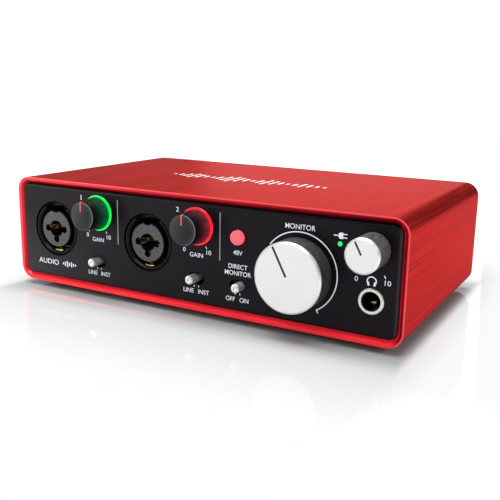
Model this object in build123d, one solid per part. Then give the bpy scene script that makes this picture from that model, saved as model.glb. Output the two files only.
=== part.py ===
"""Desktop two-channel audio interface: an extruded aluminium sleeve holding two circuit boards.

Frame: millimetres, +Z up, front panel facing -Y. The origin is at the centre of the whole
object's outline, on the surface that the feet stand on. A depth is measured from the front
rim of the sleeve towards the back, and a panel height from the underside of the sleeve.
"""
from build123d import *
import math
import os

# ---------------------------------------------------------------- sleeve
CASE_WIDTH = 175.0
CASE_HEIGHT = 45.2
CASE_DEPTH = 100.0
CASE_WALL = 2.5
CASE_CORNER = 6.0            # outer corner radius, seen from the front
RIM_BEVEL = 1.1              # width of the bevel inside the front and rear rims
RIM_BEVEL_DEPTH = 1.7        # at the front; at the rear it ends at the panel's face
RIM_EDGE = 0.3               # broken outer edge
FOOT_HEIGHT = 2.6

# screw channels and board rails, part of the extrusion
CHANNEL_X = 34.5
CHANNEL_RADIUS = 3.0
CHANNEL_SINK = 0.5           # how far a channel's outline runs into the wall
TAPPING_HOLE = 1.25
RAIL_REACH = 2.2
RAIL_THICKNESS = 1.2
RAIL_GAP = 0.15

# ---------------------------------------------------------------- panels and boards
FASCIA_RECESS = 0.3
FASCIA_THICKNESS = 3.0
FASCIA_ROUND = 1.3
PANEL_GAP = 0.15             # round the edge of each panel
PLATE_THICKNESS = 1.5        # steel plate behind the fascia
REAR_RECESS = 1.0
REAR_THICKNESS = 1.5
BOARD_THICKNESS = 1.6
BOARD_HEIGHT = 8.8           # underside of the main board, above the sleeve's underside
BOARD_GAP = 1.0              # between the main board and what stands beside it
CONTROL_BOARD_DEPTH = 11.0
CONTROL_BOARD_TOP = 41.4
CONTROL_BOARD_BOTTOM = 7.6

# ---------------------------------------------------------------- front layout (x, panel height)
INPUT_JACKS = {"1": (-66.6, 24.1), "2": (-18.2, 24.1)}
GAIN_DIALS = {"1": (-43.5, 33.3), "2": (4.9, 33.3)}
MONITOR_DIAL = (48.15, 21.6)
HEADPHONE_DIAL = (75.3, 33.4)
INPUT_SWITCHES = {"1": (-43.3, 12.9), "2": (4.95, 12.9)}
DIRECT_SWITCH = (23.3, 12.7)
PHANTOM_BUTTON = (23.2, 31.2)
STATUS_LIGHT = (63.4, 34.0)
HEADPHONE_JACK = (75.4, 15.5)

# ---------------------------------------------------------------- rear layout (x, panel height)
LINE_OUT_JACKS = {"1": (-60.0, 19.0), "2": (-34.0, 19.0)}
USB_X = 40.0
LOCK_SLOT = (70.0, 22.5)

# ---------------------------------------------------------------- dials
DIAL_GAP = 0.5               # between a dial's skirt and what it turns over
DIAL_SHAFT_RADIUS = 3.0
DIAL_SHAFT_FLAT = 1.5        # the flat stands this far from the shaft's axis
DIAL_BORE_GAP = 0.04
SHAFT_RUNNING_GAP = 0.05
GAIN_DIAL_HEIGHT = 10.0
GAIN_BASE_RADIUS = 6.75
GAIN_TOP_RADIUS = 5.75
GAIN_DOME = 0.5
GAIN_POINTER_START = 1.9     # from the dial's axis
GAIN_POINTER_WIDTH = 0.6
GAIN_POINTER_WRAP = 1.9      # how far the pointer runs down the dial's side
MONITOR_DIAL_HEIGHT = 10.0
MONITOR_DIAL_RADIUS = 12.8
HEADPHONE_DIAL_HEIGHT = 11.5
HEADPHONE_DIAL_RADIUS = 6.1
DIAL_CAP_THICKNESS = 1.3
DIAL_CAP_EDGE = 0.6
DIAL_WEB = 2.2               # solid material between a dial's cap and its bore
SHAFT_SHOULDER = 2.2         # the shaft's flat ends this far in front of the steel plate
GAIN_POINTER_ANGLE = -4.0    # clockwise from twelve o'clock, at rest
SILVER_POINTER_ANGLE = -28.0
POINTER_DEPTH = 0.4

# ---------------------------------------------------------------- potentiometers
POT_WIDTH = 10.0
POT_BUSH_WALL = 0.85
POT_BUSH_REACH = 2.2         # how far the bush runs through the steel plate
POT_COLLAR_WIDTH = 1.2       # the shaft's collar stands this far out from the shaft
POT_COLLAR_THICKNESS = 1.2
POT_COLLAR_GAP = 0.2
POT_FLOOR = 0.8

# ---------------------------------------------------------------- light rings
HALO_RADIUS = 7.3
HALO_INNER_RADIUS = 5.3
HALO_PROUD = 0.35
HALO_EDGE = 0.2
HALO_FLANGE = 1.0            # the flange's width and its thickness
HALO_GAP = 0.06

# ---------------------------------------------------------------- combination input jacks
JACK_BORE_RADIUS = 9.75
JACK_BORE_DEPTH = 14.0
JACK_LIP_WIDTH = 1.85
JACK_LIP_DROP = 0.8          # from the lip's crest to its inner and outer edge
JACK_HOLE_GAP = 0.2
JACK_WALL = 2.65
JACK_FLOOR = 10.0            # from the end of the bore to the back of the jack
JACK_END_WALL = 1.5
JACK_PEDESTAL = 22.8         # width of the block that stands on the board
JACK_NOTCH_ANGLE = 66.0
JACK_NOTCH_DEPTH = 3.0
JACK_NOTCH_WALL = 0.5
SHELL_SPACE = 1.8            # room round the insert for a plug's metal shell
PLUG_GUIDE_RADIUS = 3.25
INSERT_MOUTH_GAP = 0.35      # how much wider the insert's mouth is than its plug guide
INSERT_EDGE = 0.25
SPRING_WIDTH = 4.1
SPRING_SINK = 0.35           # how far the ground spring is let into the bore's wall
SPRING_THICKNESS = 0.65
PIN_CIRCLE_RADIUS = 4.5
PIN_HOLE_RADIUS = 1.5
PIN_HOLE_DEPTH = 9.0
PIN_SLEEVE_START = 2.4       # from the insert's face to the front of its contacts
PIN_SLEEVE_WALL = 0.25
PIN_SLEEVE_GAP = 0.02
KEY_WIDTH = 3.0
KEY_DEPTH = 0.9

# ---------------------------------------------------------------- 6.35 mm jacks
SOCKET_RADIUS = 3.3
FERRULE_WALL = 0.85
FERRULE_FLANGE_WIDTH = 0.45
FERRULE_FLANGE = 0.6
FERRULE_GAP = 0.05
FERRULE_SEAT = 0.5           # how far the ferrule runs into the jack behind the steel plate
JACK_BODY_WIDTH = 12.0
JACK_BODY_LENGTH = 17.0
JACK_BODY_RELIEF = 0.4       # how much wider a jack's body is inside than its mouth
JACK_BODY_END_WALL = 1.5
OUTPUT_BODY_LENGTH = 20.0
OUTPUT_BUSH_WALL = 1.4
OUTPUT_BUSH_REACH = 3.4
OUTPUT_BUSH_ROOT = 1.0       # the bush's bore starts this far inside the body
NUT_WIDTH = 2.3
NUT_THICKNESS = 2.0
NUT_NOTCHES = 12
NUT_NOTCH = 1.2
THREAD_GAP = 0.02
LEAF_THICKNESS = 0.35
LEAF_WIDTH = 1.3
LEAF_LENGTH = 8.0
LEAF_BOW = 1.2               # how far off the jack's axis the leaf bows to
LEAF_ROOT = 0.5              # how far its ends are let into the body
LEAF_DROP = 2.7              # below the jack's axis

# ---------------------------------------------------------------- switches and button
SELECTOR_TRAVEL = 2.0
SELECTOR_RADIUS = 1.76
SELECTOR_PROUD = 4.1
SELECTOR_ROUND = 0.6
SELECTOR_DIMPLE = (0.55, 0.35)   # radius and depth of the centre mark in the pin's end
SELECTOR_SLOT_CLEAR = (0.75, 0.6)
CARRIAGE = (4.6, 1.6, 3.4)
SWITCH_BODY = (10.0, 5.6)
SWITCH_WALL = 0.8
SWITCH_GAP = 0.1
BUTTON_RADIUS = 2.72
BUTTON_PROUD = 1.3
BUTTON_TRAVEL = 1.2
BUTTON_GAP = 0.15
BUTTON_FLANGE_RADIUS = 3.6
BUTTON_FLANGE = 0.8
BUTTON_STEM_RADIUS = 1.5
BUTTON_EDGE = 0.25
BUTTON_BODY = 8.0
BUTTON_BODY_FLOOR = 0.6

# ---------------------------------------------------------------- small parts
SCREW_RADIUS = 1.2
SCREW_HEAD_RADIUS = 2.3
SCREW_LENGTH = 8.0
SCREW_RECESS = 0.9
FOOT_RADIUS = 6.5
FOOT_TAPER = 0.6
FOOT_INSET = (14.0, 15.0)
LIGHT_RADIUS = 1.0
LIGHT_GAP = 0.05
LED_SIZE = (1.6, 0.8, 0.8)
HEADER = (20.0, 6.0, 5.0)
HEADER_X = 30.0
HEADER_FLOOR = 1.2
USB_SHELL = (12.0, 16.0, 11.0)
USB_SHELL_WALL = 0.4
USB_CAVITY = (8.5, 7.8)
USB_CAVITY_BEVEL = 1.6
USB_TONGUE = (5.7, 3.2)
USB_PROUD = 0.4
CAN_ROUND = 0.5
CAN_GROOVE = (0.3, 0.8)      # depth and width of the crimp near a capacitor's foot
LOCK_OPENING = (7.0, 3.0)
LOCK_POCKET = (9.0, 4.5, 8.0)
LOCK_POCKET_WALL = 1.2
LOCK_PLATE = (16.0, 13.0)
LOCK_PLATE_GAP = 0.05
LOCK_FLANGE = 1.2            # how far the bracket's flange reaches past the plate, and its thickness

# ---------------------------------------------------------------- derived places
JACK_LIP_RADIUS = JACK_BORE_RADIUS + JACK_LIP_WIDTH
JACK_HOLE_RADIUS = JACK_LIP_RADIUS + JACK_HOLE_GAP
JACK_BARREL_RADIUS = JACK_BORE_RADIUS + JACK_WALL
JACK_LENGTH = JACK_BORE_DEPTH + JACK_FLOOR
INSERT_RADIUS = JACK_BORE_RADIUS - SHELL_SPACE
INSERT_MOUTH_RADIUS = PLUG_GUIDE_RADIUS + INSERT_MOUTH_GAP
FERRULE_RADIUS = SOCKET_RADIUS + FERRULE_WALL
FERRULE_FLANGE_RADIUS = FERRULE_RADIUS + FERRULE_FLANGE_WIDTH
JACK_BODY_BORE = SOCKET_RADIUS + JACK_BODY_RELIEF
OUTPUT_BUSH_RADIUS = SOCKET_RADIUS + OUTPUT_BUSH_WALL
NUT_RADIUS = OUTPUT_BUSH_RADIUS + NUT_WIDTH
POT_BORE_RADIUS = DIAL_SHAFT_RADIUS + SHAFT_RUNNING_GAP
POT_BUSH_RADIUS = POT_BORE_RADIUS + POT_BUSH_WALL
COLLAR_RADIUS = DIAL_SHAFT_RADIUS + POT_COLLAR_WIDTH
BUSH_HOLE = POT_BUSH_RADIUS + PANEL_GAP
DIAL_PROUD = max(HEADPHONE_DIAL_HEIGHT, MONITOR_DIAL_HEIGHT, GAIN_DIAL_HEIGHT) - FASCIA_RECESS
REAR_PROUD = max(NUT_THICKNESS, OUTPUT_BUSH_REACH - REAR_THICKNESS, USB_PROUD) - REAR_RECESS
CASE_FRONT = DIAL_PROUD - (CASE_DEPTH + DIAL_PROUD + REAR_PROUD) / 2
CASE_REAR = CASE_FRONT + CASE_DEPTH
FASCIA_FACE = CASE_FRONT + FASCIA_RECESS
FASCIA_BACK = FASCIA_FACE + FASCIA_THICKNESS
PLATE_BACK = FASCIA_BACK + PLATE_THICKNESS
FERRULE_END = PLATE_BACK + FERRULE_SEAT
REAR_FACE = CASE_REAR - REAR_RECESS
REAR_INSIDE = REAR_FACE - REAR_THICKNESS
CONTROL_FRONT = CASE_FRONT + CONTROL_BOARD_DEPTH
CONTROL_BACK = CONTROL_FRONT + BOARD_THICKNESS
INNER_WIDTH = CASE_WIDTH - 2 * CASE_WALL
INNER_HEIGHT = CASE_HEIGHT - 2 * CASE_WALL
INNER_CORNER = CASE_CORNER - CASE_WALL
CASE_MIDDLE = FOOT_HEIGHT + CASE_HEIGHT / 2
BOARD_TOP = FOOT_HEIGHT + BOARD_HEIGHT + BOARD_THICKNESS
CHANNEL_RISE = CASE_WALL + CHANNEL_RADIUS - CHANNEL_SINK
CHANNELS = [(side * CHANNEL_X, CASE_MIDDLE + level * (CASE_HEIGHT / 2 - CHANNEL_RISE))
            for side in (-1, 1) for level in (-1, 1)]


def at(place):
    """A layout place (x, panel height) as (x, z) in the part's frame."""
    return place[0], FOOT_HEIGHT + place[1]


# ---------------------------------------------------------------- shape helpers
def prism(sketch, y_from, y_to):
    """A sketch drawn in (x, z), extruded along Y."""
    return extrude(Plane.XZ.offset(-y_from) * sketch, amount=y_from - y_to)


def block(x_range, y_range, z_range):
    low, high = zip(x_range, y_range, z_range)
    size = [b - a for a, b in zip(low, high)]
    middle = [(a + b) / 2 for a, b in zip(low, high)]
    return Pos(*middle) * Box(*size)


def block_at(place, width, height, y_from, y_to):
    """A block along Y, centred on a place (x, z)."""
    return prism(Pos(*place) * Rectangle(width, height), y_from, y_to)


def rod(place, radius, y_from, y_to):
    return prism(Pos(*place) * Circle(radius), y_from, y_to)


def tube(place, outer, inner, y_from, y_to):
    return prism(Pos(*place) * (Circle(outer) - Circle(inner)), y_from, y_to)


def turned(place, outline):
    """A solid turned about Y from an outline of (radius, y) points."""
    face = make_face(Polyline(*outline, close=True))
    return Pos(place[0], 0, place[1]) * revolve(face, Axis.Y)


def spun(shape, place, angle):
    """The shape turned clockwise, seen from the front, about a place (x, z)."""
    x, z = place
    return Pos(x, 0, z) * Rot(0, angle, 0) * Pos(-x, 0, -z) * shape


def rounded(width, height, corner):
    return Pos(0, CASE_MIDDLE) * RectangleRounded(width, height, corner)


def group(shapes):
    return Compound(children=[solid for shape in shapes for solid in shape.solids()])


# ---------------------------------------------------------------- casing
def rim_bevel(y_rim, y_seat):
    """The wedge cut away inside a rim, from its full width at the rim down to the bore."""
    grow = 2 * RIM_BEVEL
    wide = rounded(INNER_WIDTH + grow, INNER_HEIGHT + grow, INNER_CORNER + RIM_BEVEL)
    narrow = rounded(INNER_WIDTH, INNER_HEIGHT, INNER_CORNER)
    return loft([Plane.XZ.offset(-y_rim) * wide, Plane.XZ.offset(-y_seat) * narrow], ruled=True)


def case_sleeve():
    shell = prism(rounded(CASE_WIDTH, CASE_HEIGHT, CASE_CORNER), CASE_FRONT, CASE_REAR)
    for end in (shell.faces().sort_by(Axis.Y)[0], shell.faces().sort_by(Axis.Y)[-1]):
        shell = chamfer(end.edges(), RIM_EDGE)
    shell -= prism(rounded(INNER_WIDTH, INNER_HEIGHT, INNER_CORNER), CASE_FRONT, CASE_REAR)
    shell -= rim_bevel(CASE_FRONT, CASE_FRONT + RIM_BEVEL_DEPTH)
    shell -= rim_bevel(CASE_REAR, REAR_FACE)
    bore_half = INNER_WIDTH / 2
    for side in (-1, 1):
        for z_from in (BOARD_TOP + RAIL_GAP, BOARD_TOP - BOARD_THICKNESS - RAIL_GAP - RAIL_THICKNESS):
            wall = sorted((side * (bore_half - RAIL_REACH), side * (bore_half + CHANNEL_SINK)))
            shell += block(wall, (PLATE_BACK, REAR_INSIDE), (z_from, z_from + RAIL_THICKNESS))
    for place in CHANNELS:
        shell += rod(place, CHANNEL_RADIUS, PLATE_BACK, REAR_INSIDE)
    for place in CHANNELS:
        shell -= rod(place, TAPPING_HOLE, PLATE_BACK, REAR_INSIDE)
    return shell


def panel_blank(y_from, y_to):
    shrink = 2 * PANEL_GAP
    outline = rounded(INNER_WIDTH - shrink, INNER_HEIGHT - shrink, INNER_CORNER - PANEL_GAP)
    return prism(outline, y_from, y_to)


def selector_slot(place):
    clear_x, clear_z = SELECTOR_SLOT_CLEAR
    length = 2 * (SELECTOR_RADIUS + clear_x) + SELECTOR_TRAVEL
    return Pos(*place) * SlotOverall(length, 2 * (SELECTOR_RADIUS + clear_z))


def front_fascia():
    panel = panel_blank(FASCIA_FACE, FASCIA_BACK)
    panel = fillet(panel.faces().sort_by(Axis.Y)[0].edges(), FASCIA_ROUND)
    for place in INPUT_JACKS.values():
        panel -= rod(at(place), JACK_HOLE_RADIUS, FASCIA_FACE, FASCIA_BACK)
    for place in GAIN_DIALS.values():
        panel -= rod(at(place), HALO_RADIUS + HALO_GAP, FASCIA_FACE, FASCIA_BACK)
        flange = HALO_RADIUS + HALO_FLANGE + HALO_GAP
        panel -= rod(at(place), flange, FASCIA_BACK - HALO_FLANGE, FASCIA_BACK)
    for place in (MONITOR_DIAL, HEADPHONE_DIAL):
        panel -= rod(at(place), BUSH_HOLE, FASCIA_FACE, FASCIA_BACK)
    for place in (*INPUT_SWITCHES.values(), DIRECT_SWITCH):
        panel -= prism(selector_slot(at(place)), FASCIA_FACE, FASCIA_BACK)
    panel -= rod(at(PHANTOM_BUTTON), BUTTON_RADIUS + BUTTON_GAP, FASCIA_FACE, FASCIA_BACK)
    flange_seat = BUTTON_FLANGE_RADIUS + BUTTON_GAP
    panel -= rod(at(PHANTOM_BUTTON), flange_seat, FASCIA_BACK - FASCIA_THICKNESS / 2, FASCIA_BACK)
    panel -= rod(at(STATUS_LIGHT), LIGHT_RADIUS + LIGHT_GAP, FASCIA_FACE, FASCIA_BACK)
    panel -= rod(at(HEADPHONE_JACK), FERRULE_RADIUS + PANEL_GAP, FASCIA_FACE, FASCIA_BACK)
    return panel


def front_plate():
    plate = panel_blank(FASCIA_BACK, PLATE_BACK)
    for place in INPUT_JACKS.values():
        plate -= rod(at(place), JACK_HOLE_RADIUS, FASCIA_BACK, PLATE_BACK)
    for place in GAIN_DIALS.values():
        plate -= rod(at(place), HALO_RADIUS - HALO_GAP, FASCIA_BACK, PLATE_BACK)
    for place in (MONITOR_DIAL, HEADPHONE_DIAL):
        plate -= rod(at(place), BUSH_HOLE, FASCIA_BACK, PLATE_BACK)
    for place in (*INPUT_SWITCHES.values(), DIRECT_SWITCH):
        plate -= prism(selector_slot(at(place)), FASCIA_BACK, PLATE_BACK)
    plate -= rod(at(PHANTOM_BUTTON), BUTTON_FLANGE_RADIUS + BUTTON_GAP, FASCIA_BACK, PLATE_BACK)
    plate -= rod(at(STATUS_LIGHT), LIGHT_RADIUS + LIGHT_GAP, FASCIA_BACK, PLATE_BACK)
    plate -= rod(at(HEADPHONE_JACK), FERRULE_RADIUS + PANEL_GAP, FASCIA_BACK, PLATE_BACK)
    for place in CHANNELS:
        plate -= countersunk(place, FASCIA_BACK, 1, SCREW_RADIUS + PANEL_GAP, PANEL_GAP)
    return plate


def countersunk(place, y_face, inward, shank, head_gap):
    """The outline of a countersunk screw, its head flush with y_face and its shank along inward."""
    head = SCREW_HEAD_RADIUS + head_gap
    depth = y_face + inward * (head - shank)
    tip = y_face + inward * SCREW_LENGTH
    return turned(place, [(0, y_face), (head, y_face), (shank, depth), (shank, tip), (0, tip)])


def screws(y_face, inward):
    """Four countersunk screws with a hexagon recess."""
    made = []
    for place in CHANNELS:
        screw = countersunk(place, y_face, inward, SCREW_RADIUS, 0)
        socket = Pos(*place) * RegularPolygon(SCREW_RADIUS, 6)
        ends = sorted((y_face, y_face + inward * SCREW_RECESS))
        made.append(screw - prism(socket, *ends))
    return group(made)


def rear_panel():
    panel = panel_blank(REAR_INSIDE, REAR_FACE)
    for place in LINE_OUT_JACKS.values():
        panel -= rod(at(place), OUTPUT_BUSH_RADIUS + PANEL_GAP, REAR_INSIDE, REAR_FACE)
    width, _, height = USB_SHELL
    opening = (width + 2 * PANEL_GAP, height + 2 * PANEL_GAP)
    panel -= block_at((USB_X, BOARD_TOP + height / 2), *opening, REAR_INSIDE, REAR_FACE)
    plate_hole = [side + 2 * LOCK_PLATE_GAP for side in LOCK_PLATE]
    panel -= block_at(at(LOCK_SLOT), *plate_hole, REAR_INSIDE, REAR_FACE)
    for place in CHANNELS:
        panel -= countersunk(place, REAR_FACE, -1, SCREW_RADIUS + PANEL_GAP, PANEL_GAP)
    return panel


def feet():
    """Four moulded feet under the sleeve, each a little narrower where it stands."""
    made = []
    for side in (-1, 1):
        for y in (CASE_FRONT + FOOT_INSET[1], CASE_REAR - FOOT_INSET[1]):
            foot = Cone(FOOT_RADIUS - FOOT_TAPER, FOOT_RADIUS, FOOT_HEIGHT)
            made.append(Pos(side * (CASE_WIDTH / 2 - FOOT_INSET[0]), y, FOOT_HEIGHT / 2) * foot)
    return group(made)


# ---------------------------------------------------------------- boards
def main_board():
    edge = INNER_WIDTH / 2 - PANEL_GAP
    depth = (CONTROL_BACK + BOARD_GAP, REAR_INSIDE)
    return block((-edge, edge), depth, (BOARD_TOP - BOARD_THICKNESS, BOARD_TOP))


def control_board():
    edge = INNER_WIDTH / 2 - RAIL_REACH - RAIL_GAP
    z_range = (FOOT_HEIGHT + CONTROL_BOARD_BOTTOM, FOOT_HEIGHT + CONTROL_BOARD_TOP)
    board = block((-edge, edge), (CONTROL_FRONT, CONTROL_BACK), z_range)
    for place in INPUT_JACKS.values():
        board -= rod(at(place), JACK_BARREL_RADIUS + BOARD_GAP / 2, CONTROL_FRONT, CONTROL_BACK)
        x, z = at(place)
        foot = (JACK_PEDESTAL + BOARD_GAP) / 2
        board -= block((x - foot, x + foot), (CONTROL_FRONT, CONTROL_BACK), (z_range[0], z))
    for place in CHANNELS:
        board -= rod(place, CHANNEL_RADIUS + BOARD_GAP / 2, CONTROL_FRONT, CONTROL_BACK)
    x, z = at(HEADPHONE_JACK)
    half = JACK_BODY_WIDTH / 2 + BOARD_GAP / 2
    board -= block((x - half, x + half), (CONTROL_FRONT, CONTROL_BACK), (z_range[0], z + half))
    return board


def board_header():
    """The pin strip that joins the two boards, standing on the main board."""
    width, depth, height = HEADER
    half, inside = width / 2, width / 2 - 2 * HEADER_FLOOR
    y_from, y_to, top = CONTROL_BACK, CONTROL_BACK + depth, BOARD_TOP + height
    body = block((HEADER_X - half, HEADER_X + half), (y_from, y_to), (BOARD_TOP, top))
    hollow = block((HEADER_X - inside, HEADER_X + inside), (y_from + 2 * HEADER_FLOOR, y_to),
                   (BOARD_TOP + HEADER_FLOOR, top))
    return body - hollow


def capacitors():
    """Round can capacitors on the main board: (x, depth from the front, radius, height)."""
    cans = [(-52, 44, 4, 11), (-42, 44, 4, 11), (-4, 44, 5, 13), (10, 44, 4, 11), (22, 50, 3.2, 9),
            (-4, 60, 4, 11), (62, 52, 5, 14), (62, 66, 4, 11)]
    made = []
    for x, depth, radius, height in cans:
        can = fillet(Cylinder(radius, height).edges().sort_by(Axis.Z)[-1:], CAN_ROUND)
        groove = Cylinder(radius, CAN_GROOVE[1]) - Cylinder(radius - CAN_GROOVE[0], CAN_GROOVE[1])
        can -= Pos(0, 0, 2 * CAN_GROOVE[1] - height / 2) * groove
        made.append(Pos(x, CASE_FRONT + depth, BOARD_TOP + height / 2) * can)
    return group(made)


def chips():
    """Chip packages on the main board: (x, depth from the front, width, length, height)."""
    packages = [(35, 56, 14, 14, 1.4), (35, 38, 7, 7, 1.2), (-66, 46, 5, 6, 1.6), (-66, 58, 5, 6, 1.6),
                (-20, 50, 6, 8, 1.6), (-20, 64, 8, 8, 1.2), (52, 80, 5, 4, 2.0)]
    return group([block((x - w / 2, x + w / 2),
                        (CASE_FRONT + depth - length / 2, CASE_FRONT + depth + length / 2),
                        (BOARD_TOP, BOARD_TOP + height))
                  for x, depth, w, length, height in packages])


def panel_leds():
    """Light sources on the control board: four behind each gain ring and one behind the status light."""
    width, thickness, height = LED_SIZE
    spread = HALO_RADIUS - LED_SIZE[0] / 2
    places = [at(STATUS_LIGHT)]
    for x, z in map(at, GAIN_DIALS.values()):
        places += [(x - spread, z), (x + spread, z), (x, z - spread), (x, z + spread)]
    return group([block_at(p, width, height, CONTROL_FRONT - thickness, CONTROL_FRONT) for p in places])


# ---------------------------------------------------------------- potentiometers and dials
def shaft_section(gap=0.0):
    """A round shaft with one flat, drawn about its own axis."""
    radius = DIAL_SHAFT_RADIUS + gap
    flat = Pos(0, DIAL_SHAFT_FLAT + gap + radius) * Rectangle(2 * radius, 2 * radius)
    return Circle(radius) - flat


def dial_shaft(place, height):
    """The turning shaft: a collar inside the potentiometer, a round length and a flatted end."""
    back = CONTROL_FRONT - POT_FLOOR - POT_COLLAR_GAP
    collar = rod(place, COLLAR_RADIUS, back - POT_COLLAR_THICKNESS, back)
    shoulder = FASCIA_BACK - SHAFT_SHOULDER
    round_part = rod(place, DIAL_SHAFT_RADIUS, shoulder, back - POT_COLLAR_THICKNESS)
    flatted = prism(Pos(*place) * shaft_section(), bore_end(height), shoulder)
    return collar + round_part + flatted


def potentiometer(place):
    """A square pot between the steel plate and the control board, with a bush for its shaft."""
    body = block_at(place, POT_WIDTH, POT_WIDTH, PLATE_BACK + PANEL_GAP, CONTROL_FRONT)
    bush = rod(place, POT_BUSH_RADIUS, PLATE_BACK - POT_BUSH_REACH, PLATE_BACK + PANEL_GAP)
    floor = CONTROL_FRONT - POT_FLOOR
    pocket_depth = POT_COLLAR_THICKNESS + 2 * POT_COLLAR_GAP
    pocket = rod(place, COLLAR_RADIUS + POT_COLLAR_GAP, floor - pocket_depth, floor)
    bore = rod(place, POT_BORE_RADIUS, PLATE_BACK - POT_BUSH_REACH, floor)
    return body + bush - pocket - bore


def bore_end(height):
    """Where the shaft's end meets the bottom of the bore in a dial of this height."""
    return FASCIA_FACE - height + DIAL_CAP_THICKNESS + DIAL_WEB


def dial_bore(place, skirt, height):
    """The flatted bore that grips the shaft, from the dial's skirt inwards."""
    return prism(Pos(*place) * shaft_section(DIAL_BORE_GAP), bore_end(height), skirt)


def gain_knob(place):
    """A tapered dial with a domed face, drawn with its pointer at twelve o'clock.

    Returns the dial and its pointer inlay."""
    skirt = FASCIA_FACE - HALO_PROUD - DIAL_GAP
    face = FASCIA_FACE - GAIN_DIAL_HEIGHT
    shoulder = face + 2 * GAIN_DOME

    def outline(sink):
        """Half of the dial's section, drawn that much inside its surface."""
        top, base, front = GAIN_TOP_RADIUS - sink, GAIN_BASE_RADIUS - sink, face + sink
        rim = (top - GAIN_DOME, front + 0.8 * GAIN_DOME)
        return make_face([
            Line((base, skirt), (top, shoulder + sink)),
            ThreePointArc((top, shoulder + sink), (top - 0.15 * GAIN_DOME, front + 1.2 * GAIN_DOME), rim),
            ThreePointArc(rim, (top / 2, front + 0.2 * GAIN_DOME), (0, front)),
            Line((0, front), (0, skirt)),
            Line((0, skirt), (base, skirt)),
        ])

    x, z = place
    body = Pos(x, 0, z) * revolve(outline(0), Axis.Y)
    sunk = Pos(x, 0, z) * revolve(outline(POINTER_DEPTH), Axis.Y)
    half = GAIN_POINTER_WIDTH / 2
    ends = (face - GAIN_DOME, face + GAIN_POINTER_WRAP)
    stripe = block((x - half, x + half), ends, (z + GAIN_POINTER_START, z + GAIN_BASE_RADIUS))
    pointer = (body & stripe) - sunk
    body = body - pointer - dial_bore(place, skirt, GAIN_DIAL_HEIGHT)
    return body, pointer


def silver_dial(place, radius, height, pointer_span, pointer_width):
    """A straight dial: a dark body with a metal cap, and a black pointer let into the cap.

    Returns the body, the cap and the pointer."""
    skirt = FASCIA_FACE - DIAL_GAP
    face = FASCIA_FACE - height
    seam = face + DIAL_CAP_THICKNESS
    body = rod(place, radius, seam, skirt) - dial_bore(place, skirt, height)
    cap = turned(place, [(0, face), (radius - DIAL_CAP_EDGE, face), (radius, face + DIAL_CAP_EDGE),
                         (radius, seam), (0, seam)])
    x, z = place
    low, high = pointer_span
    half = pointer_width / 2
    pointer = block((x - half, x + half), (face, face + POINTER_DEPTH), (z + low, z + high))
    return body, cap - pointer, pointer


# ---------------------------------------------------------------- light guides
def gain_halo(place):
    """A ring-shaped light guide with a flange behind the fascia."""
    front, ledge = FASCIA_FACE - HALO_PROUD, FASCIA_BACK - HALO_FLANGE + HALO_GAP
    rim = HALO_RADIUS + HALO_FLANGE
    outline = [(HALO_INNER_RADIUS, front), (HALO_RADIUS - HALO_EDGE, front),
               (HALO_RADIUS, front + HALO_EDGE), (HALO_RADIUS, ledge), (rim, ledge), (rim, FASCIA_BACK),
               (HALO_INNER_RADIUS, FASCIA_BACK)]
    return turned(place, outline)


def status_light():
    """A thin light guide from the control board to a small dome on the fascia."""
    x, z = at(STATUS_LIGHT)
    guide = rod((x, z), LIGHT_RADIUS, FASCIA_FACE, CONTROL_FRONT - LED_SIZE[1])
    dome = Pos(x, FASCIA_FACE, z) * Sphere(LIGHT_RADIUS)
    flat = block((x - 2, x + 2), (FASCIA_FACE - 0.4, FASCIA_FACE + 2), (z - 2, z + 2))
    return guide + (dome & flat)


# ---------------------------------------------------------------- combination input jacks
def sector(place, half_angle, reach):
    """A triangle in (x, z) from a place upwards, to cut a ring with."""
    x, z = place
    side, rise = reach * math.sin(half_angle), reach * math.cos(half_angle)
    return make_face(Polyline((x, z), (x - side, z + rise), (x + side, z + rise), close=True))


def jack_shell(place):
    """The moulded body: a lip in the fascia's hole, a deep bore, and a pedestal on the board."""
    x, z = place
    seat = FASCIA_FACE + JACK_BORE_DEPTH
    back = FASCIA_FACE + JACK_LENGTH
    lip = FASCIA_FACE + JACK_LIP_DROP
    crest = JACK_BORE_RADIUS + JACK_LIP_WIDTH / 2
    outline = [(JACK_BORE_RADIUS, lip), (crest - 0.3, FASCIA_FACE), (crest, FASCIA_FACE),
               (JACK_LIP_RADIUS, lip), (JACK_LIP_RADIUS, PLATE_BACK), (JACK_BARREL_RADIUS, PLATE_BACK),
               (JACK_BARREL_RADIUS, back), (0, back), (0, seat), (JACK_BORE_RADIUS, seat)]
    shell = turned(place, outline)
    half = JACK_PEDESTAL / 2
    pedestal = block((x - half, x + half), (CONTROL_BACK + BOARD_GAP, back), (BOARD_TOP, z))
    shell += pedestal - rod(place, JACK_BORE_RADIUS + JACK_WALL / 2, CONTROL_BACK, back)
    shell -= block((x - 2 * half, x + 2 * half), (CONTROL_BACK, back), (0, BOARD_TOP))
    outer, inner = JACK_LIP_RADIUS - JACK_NOTCH_WALL, JACK_BORE_RADIUS - JACK_NOTCH_WALL
    ring = Pos(x, z) * (Circle(outer) - Circle(inner))
    notch = sector(place, math.radians(JACK_NOTCH_ANGLE / 2), 2 * JACK_LIP_RADIUS) & ring
    shell -= prism(notch, FASCIA_FACE, FASCIA_FACE + JACK_NOTCH_DEPTH)
    shell -= rod(place, PLUG_GUIDE_RADIUS + JACK_BODY_RELIEF, seat, back - JACK_END_WALL)
    return shell - ground_spring(place)


def pin_places(place):
    x, z = place
    return [(x - PIN_CIRCLE_RADIUS, z), (x + PIN_CIRCLE_RADIUS, z), (x, z - PIN_CIRCLE_RADIUS)]


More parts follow.
